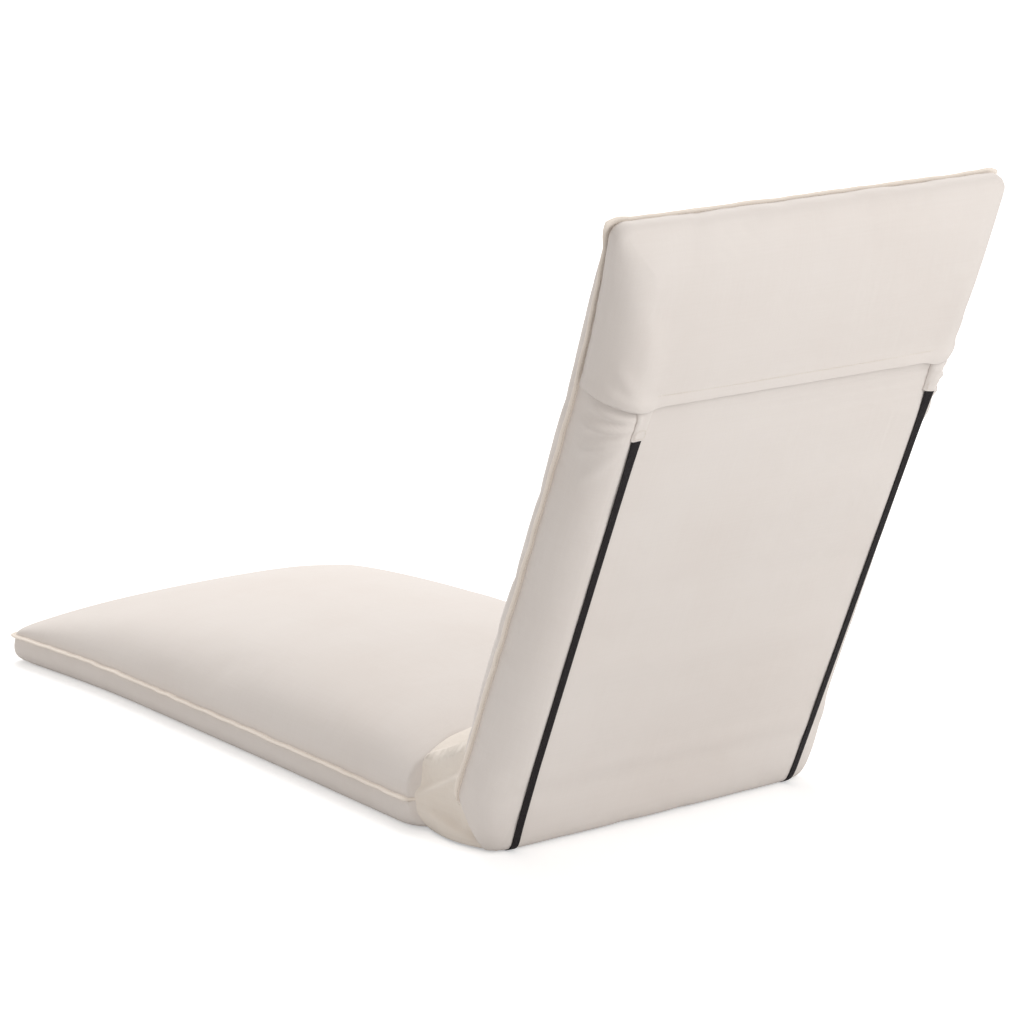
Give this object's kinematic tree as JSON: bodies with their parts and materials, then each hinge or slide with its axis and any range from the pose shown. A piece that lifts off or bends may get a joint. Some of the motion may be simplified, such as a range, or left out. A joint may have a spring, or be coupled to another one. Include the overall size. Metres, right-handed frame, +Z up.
{
  "type": "folding sun lounger",
  "caption": "Padded floor lounger: long crowned seat pad flat on the ground and a raised padded back that reclines and folds on hidden ratchet hinges, with hood and elastics behind.",
  "frame": {"origin": "middle of the seat pad's flat underside, on the floor", "axes": "+X across the width, +Y from the hinge towards the foot end, +Z up"},
  "size_m": [0.5792, 1.3673, 0.8079],
  "materials": {
    "cover_fabric": "pale cream woven polyester, matt",
    "seam_fabric": "folded and stitched edge of the same cloth",
    "foam": "soft open-cell foam",
    "felt": "grey needled felt",
    "webbing": "woven polypropylene band",
    "elastic": "black ribbed elastic",
    "frame_paint": "dark powder coat",
    "hinge_steel": "zinc-plated pressed steel",
    "bush_plastic": "natural nylon"
  },
  "bodies": {
    "seat": {"hinge_crease_panel": "cover_fabric", "hinge_under_panel": "cover_fabric", "left_hinge_gusset": "cover_fabric", "left_inner_cheek": "hinge_steel", "left_outer_cheek": "hinge_steel", "left_pawl_pin": "hinge_steel", "left_pivot_bushes": "bush_plastic", "left_pivot_rivet": "hinge_steel", "left_rail_rivets": "hinge_steel", "right_hinge_gusset": "cover_fabric", "right_inner_cheek": "hinge_steel", "right_outer_cheek": "hinge_steel", "right_pawl_pin": "hinge_steel", "right_pivot_bushes": "bush_plastic", "right_pivot_rivet": "hinge_steel", "right_rail_rivets": "hinge_steel", "seat_bed_foam": "foam", "seat_cover_base": "cover_fabric", "seat_cover_top": "cover_fabric", "seat_cross_bars": "frame_paint", "seat_cushion": "foam", "seat_felt": "felt", "seat_flange_seam": "seam_fabric", "seat_frame_tube": "frame_paint", "seat_webbing": "webbing"},
    "back": {"back_cover_front": "cover_fabric", "back_cover_rear": "cover_fabric", "back_cross_bars": "frame_paint", "back_cushion": "foam", "back_felt": "felt", "back_flange_seam": "seam_fabric", "back_frame_tube": "frame_paint", "back_hood": "cover_fabric", "back_rear_foam": "foam", "back_webbing": "webbing", "left_elastic_strap": "elastic", "left_ratchet_arm": "hinge_steel", "left_strap_tab": "cover_fabric", "right_elastic_strap": "elastic", "right_ratchet_arm": "hinge_steel", "right_strap_tab": "cover_fabric"},
    "left_pawl": {"left_pawl": "hinge_steel"},
    "right_pawl": {"right_pawl": "hinge_steel"}
  },
  "joints": [
    {"name": "back_recline", "type": "hinge", "parent": "seat", "child": "back", "pos_m": [0, -0.518, 0.1], "axis": [1, 0, 0], "range_deg": [-93, 67], "deforming": ["hinge_under_panel", "hinge_crease_panel", "left_hinge_gusset", "right_hinge_gusset"]},
    {"name": "left_pawl_lift", "type": "hinge", "parent": "seat", "child": "left_pawl", "pos_m": [-0.215, -0.48834, 0.09663], "axis": [1, 0, 0], "range_deg": [-14, 0]},
    {"name": "right_pawl_lift", "type": "hinge", "parent": "seat", "child": "right_pawl", "pos_m": [0.215, -0.48834, 0.09663], "axis": [1, 0, 0], "range_deg": [-14, 0]}
  ]
}
